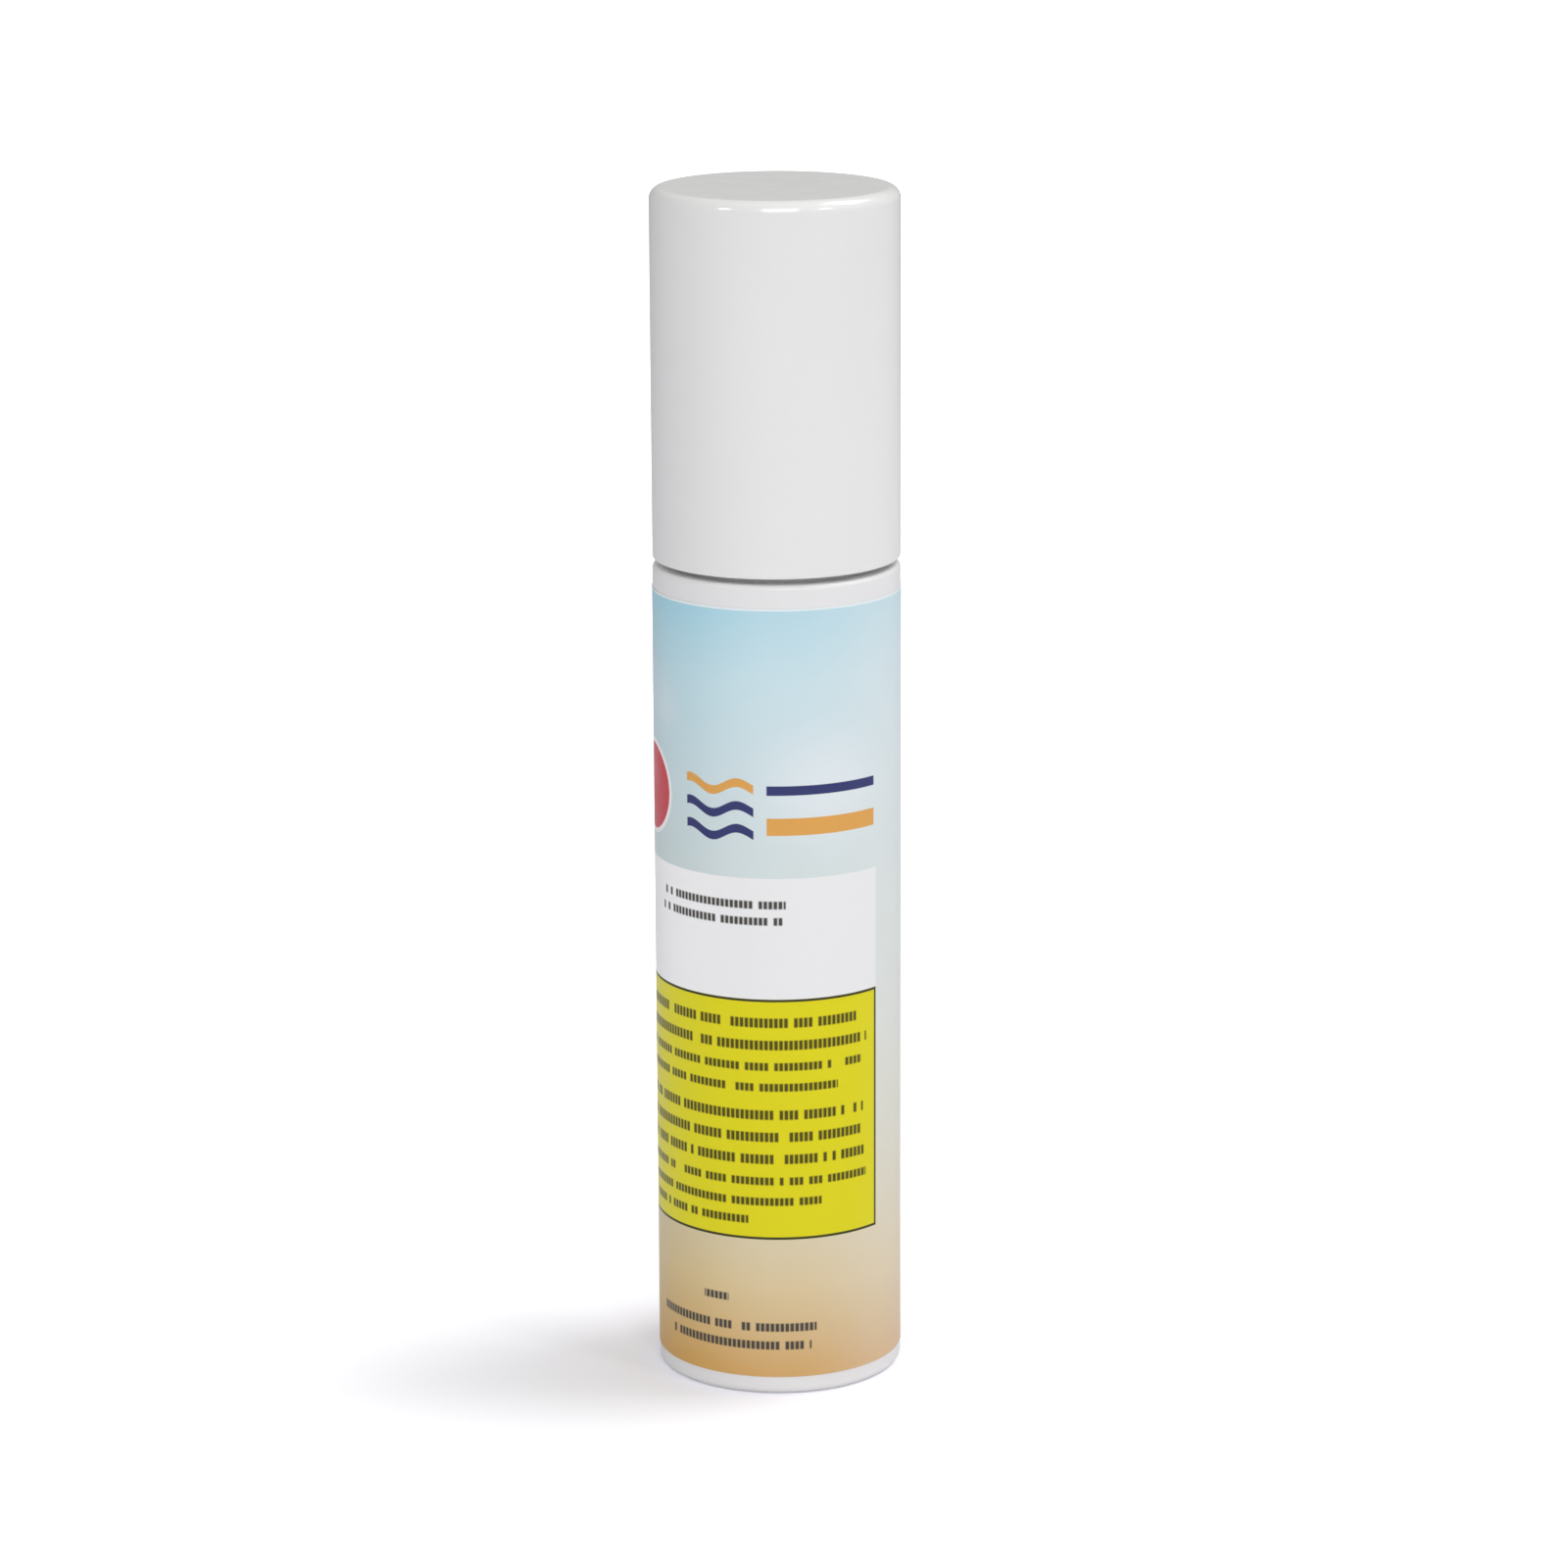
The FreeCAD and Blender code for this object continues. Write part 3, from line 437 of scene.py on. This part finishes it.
def printed_ground(surface, angle, height):
    """The soft ground of the label: blue at the top, through pale grey to sand at the foot."""
    share = surface.remap(height, LABEL_LOW, LABEL_HIGH, 0, 1)
    span = LABEL_HIGH - LABEL_LOW
    stops = [((level - LABEL_LOW) / span, colour(*shade)) for level, shade in GROUND_STOPS]
    ground = surface.ramp(share, stops)
    to_centre = surface.remap(angle, -55, 5, 0, PALE_SHARE, smooth_step=True)
    to_right = surface.remap(angle, 5, 60, 0, PALE_SHARE, smooth_step=True)
    to_seam = surface.remap(angle, 90, 175, 1, 0, smooth_step=True)
    above_sand = surface.remap(height, 2, 32, 0.3, 1.0)
    paler = surface.math("ADD", surface.math("MULTIPLY", to_centre, above_sand), to_right)
    paler = surface.math("MULTIPLY", paler, to_seam)
    ground = surface.mix(paler, ground, PALE)
    for glow_angle, glow_height, reach, strength in GLOWS:
        away = distance_from(surface, angle, height, glow_angle, glow_height)
        glow = surface.remap(away, 0, reach, 1, 0, smooth_step=True)
        ground = surface.mix(surface.math("MULTIPLY", glow, strength), ground, GLOW_TONE)
    return ground


def distance_from(surface, angle, height, at_angle, at_height):
    """The distance along the film from a place on it, in millimetres."""
    across = surface.math("MULTIPLY", surface.math("SUBTRACT", angle, at_angle), DEGREE_ARC)
    up = surface.math("SUBTRACT", height, at_height)
    square = surface.math("ADD", surface.math("POWER", across, 2), surface.math("POWER", up, 2))
    return surface.math("SQRT", square)


def bar_share(surface, angle, height):
    """The hatched bars that stand for lines of small type, broken into lengths like words."""
    arc = surface.math("MULTIPLY", angle, DEGREE_ARC)
    cell = surface.math("FLOOR", surface.math("DIVIDE", arc, WORD_CELL))
    total = None
    for number, (middle, half, left, right) in enumerate(SMALL_BARS):
        place = surface.tree.nodes.new("ShaderNodeCombineXYZ")
        surface.feed(place.inputs[0], cell)
        surface.feed(place.inputs[1], number)
        chance = surface.tree.nodes.new("ShaderNodeTexWhiteNoise")
        chance.noise_dimensions = "2D"
        surface.feed(chance.inputs["Vector"], place.outputs[0])
        word = surface.math("GREATER_THAN", chance.outputs["Value"], WORD_GAPS)
        upright = surface.window(height, middle, half, 0.12)
        length = surface.between(angle, left, right, 0.3)
        bar = surface.math("MULTIPLY", surface.math("MULTIPLY", upright, length), word)
        total = bar if total is None else surface.math("MAXIMUM", total, bar)
    across = surface.math("FRACT", surface.math("DIVIDE", arc, HATCH_PITCH))
    hatch = surface.window(across, 0.5, HATCH_INK / 2, 0.1)
    return surface.math("MULTIPLY", total, surface.remap(hatch, 0, 1, 0.3, 1.0))


def wave_share(surface, angle, height, middle):
    """A short plain wave line."""
    swing = surface.math("SINE", surface.math("MULTIPLY", angle, 2 * pi / WAVE_LENGTH))
    centre = surface.math("ADD", surface.math("MULTIPLY", swing, WAVE_SWING), middle)
    line = surface.window(height, centre, WAVE_HALF, WAVE_SOFT)
    return surface.math("MULTIPLY", line, surface.between(angle, WAVE_LEFT, WAVE_RIGHT, 0.3))


def spot_share(surface, angle, height, radius):
    """The plain round spot out to a radius, with a crisp edge."""
    away = distance_from(surface, angle, height, SPOT_ANGLE, SPOT_HEIGHT)
    return surface.remap(away, radius - SPOT_SOFT, radius + SPOT_SOFT, 1, 0, smooth_step=True)


def label_film(name):
    """Printed film: soft ground, two plain panels painted lighter to the left as painted light, plain bars for
    the type, waves, plates and a spot.
    """
    surface = Surface(name)
    angle, height = surface.axes()
    shade = printed_ground(surface, angle, height)
    in_panels = surface.between(angle, PANEL_LEFT, PANEL_RIGHT, 0.2)
    white = surface.math("MULTIPLY", in_panels, surface.between(height, YELLOW_TOP, WHITE_PANEL_TOP, 0.08))
    # Painted light: the white and the yellow panel are painted lighter towards the left, standing in for light
    # falling on that side
    painted_left_light = surface.remap(angle, -60, -10, 1, 0, smooth_step=True)
    shade = surface.mix(white, shade, surface.mix(painted_left_light, colour(239, 239, 238), colour(254, 254, 253)))
    yellow = surface.math("MULTIPLY", in_panels, surface.between(height, YELLOW_LOW, YELLOW_TOP, 0.05))
    shade = surface.mix(yellow, shade, surface.mix(painted_left_light, colour(226, 216, 14), colour(231, 222, 26)))
    inside_angle = surface.between(angle, PANEL_LEFT + LEFT_RULE, PANEL_RIGHT - RULE / DEGREE_ARC, 0.2)
    inside_height = surface.between(height, YELLOW_LOW + RULE, YELLOW_TOP - RULE, 0.05)
    inside = surface.math("MULTIPLY", inside_angle, inside_height)
    frame_line = surface.math("SUBTRACT", yellow, inside, clamp=True)
    shade = surface.mix(frame_line, shade, colour(58, 58, 26))
    ink = surface.mix(yellow, colour(74, 70, 64), colour(84, 76, 4))
    shade = surface.mix(bar_share(surface, angle, height), shade, ink)
    for middle, ink in WAVES:
        shade = surface.mix(wave_share(surface, angle, height, middle), shade, ink)
    for low, high, ink in PLATES:
        plate_height = surface.between(height, low, high, 0.06)
        plate_length = surface.between(angle, PLATE_LEFT, PLATE_RIGHT, 0.25)
        shade = surface.mix(surface.math("MULTIPLY", plate_height, plate_length), shade, ink)
    for radius, ink in SPOT_RINGS:
        shade = surface.mix(spot_share(surface, angle, height, radius), shade, ink)
    top_line = surface.between(height, LABEL_HIGH - 0.3, LABEL_HIGH + 0.3, 0.05)
    shade = surface.mix(top_line, shade, colour(232, 240, 242))
    fibre = surface.noise(0.5, detail=3.0)
    uneven = surface.remap(surface.noise(5.0, detail=3.0), *NOISE_SPAN, 0.30, 0.38)
    surface.set(Base_Color=shade, Roughness=uneven, IOR=1.47, Specular_IOR_Level=0.3)
    wrap = surface.bump(surface.noise(7.0, detail=1.0, stretch=(1, 1, 2)), 0.006)
    surface.set(Normal=surface.bump(fibre, 0.0008, below=wrap))
    return surface.material


# Pieces


def dress(piece, body, node, material):
    """Puts a piece on its body in place of a node, with its finish."""
    piece.data.materials.clear()
    piece.data.materials.append(material)
    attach(piece, body)
    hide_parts(node)


def make_cap():
    """The lift-off cap with its gripping land and six stop ribs inside."""
    rib_face = 13.3
    rib_root = 14.6
    rib_half = 0.6
    rib_low = 110.2
    ribs = 6
    mesh = bmesh.new()
    outline = rounded([
        (CAP_LAND, CAP_MOUTH, 0.12), (OUTER, CAP_MOUTH, 0.3), (OUTER, CAP_TOP, 1.5), (0, CAP_TOP),
        (0, CAP_ROOF), (CAP_BORE, CAP_ROOF, 0.8), (CAP_BORE, 108.6), (CAP_LAND, 108.5),
    ])
    add_turned(mesh, supported(outline), around=256)
    rib = rounded([
        (rib_face, -rib_half, 0.25), (rib_root, -rib_half), (rib_root, rib_half), (rib_face, rib_half, 0.25),
    ])
    for number in range(ribs):
        add_prism(mesh, rib, rib_low, CAP_ROOF + 0.5, 360.0 / ribs * number)
    return finish_mesh("cap_shell", mesh)


def make_container():
    """The body with its rounded shoulder and foot, and the neck with its snap bead."""
    bead = 11.7
    bead_low = 116.0
    groove = 14.2
    groove_low = 4.9
    return turned_piece("container_wall", [
        (INNER, 0, 0.15), (OUTER, 0, 0.9), (OUTER, SHOULDER, 0.6), (NECK, SHOULDER), (NECK, bead_low),
        (bead, bead_low, 0.1), (NECK, 116.8), (NECK, NECK_TOP, 0.2), (NECK_BORE, NECK_TOP, 0.2),
        (NECK_BORE, BODY_ROOF), (INNER, BODY_ROOF, 0.3), (INNER, 5.6), (groove, groove_low),
        (INNER, groove_low),
    ], around=256)


def make_label():
    """The film round the wall, with its two ends apart at the back."""
    gap = 1.0
    seam = degrees(gap / FILM_INNER)
    return turned_piece("label_wrap", [
        (FILM_INNER, LABEL_LOW), (FILM_OUTER, LABEL_LOW), (FILM_OUTER, LABEL_HIGH), (FILM_INNER, LABEL_HIGH),
    ], around=252, start=-180 + seam / 2, sweep=360 - seam)


def make_collar():
    """The ring that carries the cap, with the chimney round the push head."""
    undercut = 13.2
    land_low = 105.9
    land_high = 110.2
    chimney_top = 132.0
    web_bore = 6.7
    web_low = 123.4
    web_high = 124.8
    snap = 11.8
    snap_low = 115.9
    return turned_piece("collar_ring", [
        (COLLAR_BORE, SHOULDER), (undercut, SHOULDER), (undercut, land_low, 0.2),
        (COLLAR_LAND, land_low, 0.15), (COLLAR_LAND, land_high, 0.4), (CHIMNEY, land_high, 0.25),
        (CHIMNEY, chimney_top, 0.4), (COLLAR_BORE, chimney_top, 0.25), (COLLAR_BORE, web_high, 0.2),
        (web_bore, web_high, 0.2), (web_bore, web_low), (COLLAR_BORE, web_low), (COLLAR_BORE, 116.9),
        (snap, snap_low), (COLLAR_BORE, snap_low),
    ])


def make_base_cup():
    """The plug in the foot: a shallow cup with an air hole and two fine rings under it."""
    vent = 0.75
    under = 0.8
    ring = 0.92
    floor_top = 2.2
    snap = 14.08
    snap_low = 5.0
    return turned_piece("base_cup", [
        (vent, 0.95), (0.95, under), (8.6, under, 0.05), (8.75, ring, 0.05), (9.15, ring, 0.05),
        (9.3, under, 0.05), (12.6, under, 0.05), (12.72, ring, 0.05), (13.0, ring, 0.05),
        (13.12, under, 0.05), (CUP_WALL, under, 0.2), (CUP_WALL, snap_low), (snap, snap_low),
        (CUP_WALL, 5.5), (CUP_WALL, CUP_TOP, 0.2), (CUP_BORE, CUP_TOP, 0.2), (CUP_BORE, floor_top, 0.4),
        (vent, floor_top),
    ], around=160)


def make_push_head():
    """The push head: skirt, finger dish, boss and socket, with the side spout and its channel."""
    dish_edge = 8.5
    dish_depth = 1.0
    rim = 0.35
    dish_steps = 12
    dish_radius = (dish_edge ** 2 + dish_depth ** 2) / (2 * dish_depth)
    dish = []
    for step in range(dish_steps + 1):
        across = (dish_edge - rim) * (1 - step / dish_steps)
        drop = (dish_radius ** 2 - across ** 2) ** 0.5 - (dish_radius - dish_depth)
        dish.append((across if step < dish_steps else 0, HEAD_TOP - drop))

    skirt = 11.1
    skirt_bore = 9.9
    skirt_low = 129.7
    roof = 143.2
    boss = 6.0
    boss_low = 136.2
    socket_wall = 4.0
    socket = 3.05
    socket_low = 131.0
    socket_end = 136.8
    outside = rounded([
        (skirt_bore, skirt_low, 0.15), (skirt, skirt_low, 0.25), (skirt, HEAD_TOP, 1.0),
        (dish_edge + rim, HEAD_TOP),
    ])
    inside = rounded([
        (0, socket_end), (socket, socket_end), (socket, socket_low, 0.15), (socket_wall, socket_low, 0.15),
        (socket_wall, boss_low), (boss, boss_low, 0.2), (boss, roof, 0.3), (skirt_bore, roof, 0.4),
    ])
    outline = outside + [(dish_edge, HEAD_TOP - 0.02)] + dish + inside
    mesh = bmesh.new()
    add_turned(mesh, supported(outline), around=160)
    head = finish_mesh("push_head", mesh)

    spout_wall = 3.0
    spout_end = 12.6
    bore = 2.0
    bore_end = 12.9
    spout = turned_piece("spout", [
        (0, 5.0), (spout_wall, 5.0), (spout_wall, spout_end, 0.5), (0, spout_end),
    ], place=around_y, around=96)
    cut_or_join(head, spout, "UNION")
    channel = turned_piece("channel", [
        (0, 0.0), (bore, 0.0), (bore, 12.45), (2.3, bore_end), (0, bore_end),
    ], place=around_y, around=96)
    cut_or_join(head, channel, "DIFFERENCE")
    riser = turned_piece("riser", [
        (0, 136.0), (bore, 136.0), (bore, SPOUT_HEIGHT), (0, SPOUT_HEIGHT),
    ], around=96)
    cut_or_join(head, riser, "DIFFERENCE")
    smooth(head)
    return head


def make_paste():
    """The fill between the follower and the shoulder."""
    fill = 13.75
    low = 36.15
    high = 102.65
    return turned_piece("paste_fill", [(0, low), (fill, low, 0.4), (fill, high, 0.4), (0, high)], around=96)


def make_spring():
    """The return spring's coil, swept along its helix."""
    coil = 4.8
    wire = 0.45
    turns = 5
    low = 125.7
    high = 135.7
    steps = 48 * turns
    sides = 16
    corners = [2 * pi * number / sides for number in range(sides)]
    mesh = bmesh.new()
    rings = []
    for step in range(steps + 1):
        angle = 2 * pi * turns * step / steps
        centre = Vector((coil * cos(angle), coil * sin(angle), low + (high - low) * step / steps))
        outward = Vector((cos(angle), sin(angle), 0))
        ring = [centre + outward * wire * cos(corner) + Vector((0, 0, wire * sin(corner)))
                for corner in corners]
        rings.append([mesh.verts.new(point * MM) for point in ring])
    for ring, after in zip(rings, rings[1:]):
        for number in range(sides):
            other = (number + 1) % sides
            mesh.faces.new([ring[number], ring[other], after[other], after[number]])
    mesh.faces.new(rings[0])
    mesh.faces.new(reversed(rings[-1]))
    return finish_mesh("spring_coil", mesh)


# The finishes, and the pieces that take the place of packed ones

cap_white = moulded_plastic("cap_white", colour(233, 233, 231), 0.14, flow=0.006, peel=0.002, gloss=0.85)
body_white = moulded_plastic("body_white", colour(233, 232, 231), 0.32, flow=0.006, peel=0.003)
collar_white = moulded_plastic("collar_white", colour(230, 230, 230), 0.33)
head_white = moulded_plastic("head_white", colour(236, 236, 237), 0.2)
pump_white = moulded_plastic("pump_white", colour(230, 230, 226), 0.4)
piston_natural = moulded_plastic("piston_natural", colour(226, 226, 218), 0.45)
ball_white = moulded_plastic("ball_white", colour(238, 238, 234), 0.12, peel=0.001)
label_print = label_film("label_film")
spring_steel = brushed_wire("spring_steel")
gasket_foam = soft_seal("gasket_foam")
paste = smooth_paste("paste")

dress(make_cap(), "cap", "overcap", cap_white)
dress(make_container(), "base", "container", body_white)
dress(make_label(), "base", "label", label_print)
dress(make_collar(), "base", "collar", collar_white)
dress(make_base_cup(), "base", "base_plug", body_white)
dress(make_push_head(), "head", "actuator", head_white)

paste_fill = make_paste()
dress(paste_fill, "base", "toothpaste", paste)
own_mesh(paste_fill)
spring_coil = make_spring()
dress(spring_coil, "base", "return_spring", spring_steel)
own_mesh(spring_coil)

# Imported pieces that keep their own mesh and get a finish
KEPT_NODES = {
    "follower_piston": piston_natural,
    "pump_piston": piston_natural,
    "pump_housing": pump_white,
    "piston_rod": pump_white,
    "stem": pump_white,
    "stem_guide": pump_white,
    "inlet_ball": ball_white,
    "gasket": gasket_foam,
}
for node, finish in KEPT_NODES.items():
    for material_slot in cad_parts[node].material_slots:
        material_slot.material = finish


# Stage, lights and camera

# The floor's tone, and the glow that lifts it to white for the camera. The glow fades out towards a spot by the
# foot, in metres, and the patch where it fades is stretched sideways: painted shade that leaves the floor
# darker round the foot, on top of the lamps' own shadow.
FLOOR_TONE = (0.85, 0.85, 0.905, 1.0)
FLOOR_LIFT = 0.13
FLOOR_PAINTED_SHADE_SPOT = (-0.0078, -0.006, 0.0)
FLOOR_PAINTED_SHADE_STRETCH = 0.65
FLOOR_PAINTED_SHADE_REACH = 0.085
# The even light from all round
WORLD_LEVEL = 0.42
# The lamps stand this far, in metres, from a point on the upright axis
LAMP_DISTANCE = 0.9
LAMP_AIM = (0, 0, 0.085)
# Azimuth from the front towards +X, elevation, size in metres and power in watts
LAMPS = {
    "front_lamp": (5, 34, 0.46, 2.45),
    "right_lamp": (50, 33, 0.12, 0.75),
    "left_lamp": (-50, 34, 0.12, 0.85),
    "side_lamp": (104, 54, 0.42, 2.6),
}
# Focal length and place in millimetres, and degrees down and round the line of sight
CAMERA_LENS = 119.66
CAMERA_PLACE = (0.82, -638.0, 235.0)
CAMERA_PITCH = 14.0
CAMERA_ROLL = -0.25


def make_floor():
    """A pale floor that shows white to the camera but keeps the shadow, with painted shade round the foot where
    its glow fades.
    """
    bpy.ops.mesh.primitive_circle_add(vertices=96, radius=6.0, fill_type="NGON", location=(0, 0, 0))
    floor = bpy.context.object
    floor.name = "floor"
    material = bpy.data.materials.new("floor")
    material.use_nodes = True
    tree = material.node_tree
    tree.nodes.clear()
    output = tree.nodes.new("ShaderNodeOutputMaterial")
    rays = tree.nodes.new("ShaderNodeLightPath")
    lit = tree.nodes.new("ShaderNodeBsdfDiffuse")
    lit.inputs["Color"].default_value = FLOOR_TONE
    place = tree.nodes.new("ShaderNodeTexCoord")
    drawn_in = tree.nodes.new("ShaderNodeVectorMath")
    drawn_in.operation = "MULTIPLY"
    drawn_in.inputs[1].default_value = (FLOOR_PAINTED_SHADE_STRETCH, 1.0, 1.0)
    tree.links.new(place.outputs["Object"], drawn_in.inputs[0])
    away = tree.nodes.new("ShaderNodeVectorMath")
    away.operation = "DISTANCE"
    away.inputs[1].default_value = FLOOR_PAINTED_SHADE_SPOT
    tree.links.new(drawn_in.outputs[0], away.inputs[0])
    # Painted shade: the glow is weaker near the foot, which darkens the floor there
    rise = tree.nodes.new("ShaderNodeMapRange")
    rise.interpolation_type = "SMOOTHSTEP"
    rise.inputs["From Max"].default_value = FLOOR_PAINTED_SHADE_REACH
    rise.inputs["To Min"].default_value = FLOOR_LIFT
    tree.links.new(away.outputs["Value"], rise.inputs["Value"])
    lift = tree.nodes.new("ShaderNodeMath")
    lift.operation = "MULTIPLY"
    tree.links.new(rays.outputs["Is Camera Ray"], lift.inputs[0])
    tree.links.new(rise.outputs[0], lift.inputs[1])
    glow = tree.nodes.new("ShaderNodeEmission")
    glow.inputs["Color"].default_value = (1.0, 1.0, 1.0, 1.0)
    tree.links.new(lift.outputs[0], glow.inputs["Strength"])
    both = tree.nodes.new("ShaderNodeAddShader")
    tree.links.new(lit.outputs[0], both.inputs[0])
    tree.links.new(glow.outputs[0], both.inputs[1])
    tree.links.new(both.outputs[0], output.inputs["Surface"])
    floor.data.materials.append(material)


def make_world():
    """Even soft light from all round, with a white background for the camera alone."""
    world = bpy.data.worlds.new("studio")
    bpy.context.scene.world = world
    world.use_nodes = True
    tree = world.node_tree
    background = tree.nodes["Background"]
    rays = tree.nodes.new("ShaderNodeLightPath")
    level = tree.nodes.new("ShaderNodeMapRange")
    level.inputs["To Min"].default_value = WORLD_LEVEL
    level.inputs["To Max"].default_value = 1.0
    tree.links.new(rays.outputs["Is Camera Ray"], level.inputs["Value"])
    tree.links.new(level.outputs[0], background.inputs["Strength"])
    background.inputs["Color"].default_value = (1.0, 1.0, 1.0, 1.0)


def make_lamp(name, azimuth, elevation, size, power):
    """A square softbox aimed at the middle of the dispenser."""
    target = Vector(LAMP_AIM)
    turn, rise = radians(azimuth), radians(elevation)
    away = Vector((sin(turn) * cos(rise), -cos(turn) * cos(rise), sin(rise)))
    lamp = bpy.data.lights.new(name, "AREA")
    lamp.shape = "SQUARE"
    lamp.size = size
    lamp.energy = power
    holder = bpy.data.objects.new(name, lamp)
    bpy.context.scene.collection.objects.link(holder)
    holder.location = target + away * LAMP_DISTANCE
    holder.rotation_mode = "QUATERNION"
    holder.rotation_quaternion = away.to_track_quat("Z", "Y")


def make_camera():
    """The photograph's view: a little above the dispenser, looking down on it."""
    data = bpy.data.cameras.new("camera")
    data.sensor_width = 36.0
    data.lens = CAMERA_LENS
    camera = bpy.data.objects.new("camera", data)
    bpy.context.scene.collection.objects.link(camera)
    place = Matrix.Translation(Vector(CAMERA_PLACE) * MM)
    tilt = Matrix.Rotation(radians(90 - CAMERA_PITCH), 4, "X")
    roll = Matrix.Rotation(radians(CAMERA_ROLL), 4, "Z")
    camera.matrix_world = place @ tilt @ roll
    bpy.context.scene.camera = camera


make_floor()
make_world()
for lamp_name, setting in LAMPS.items():
    make_lamp(lamp_name, *setting)
make_camera()
bpy.context.scene.view_settings.view_transform = "Standard"
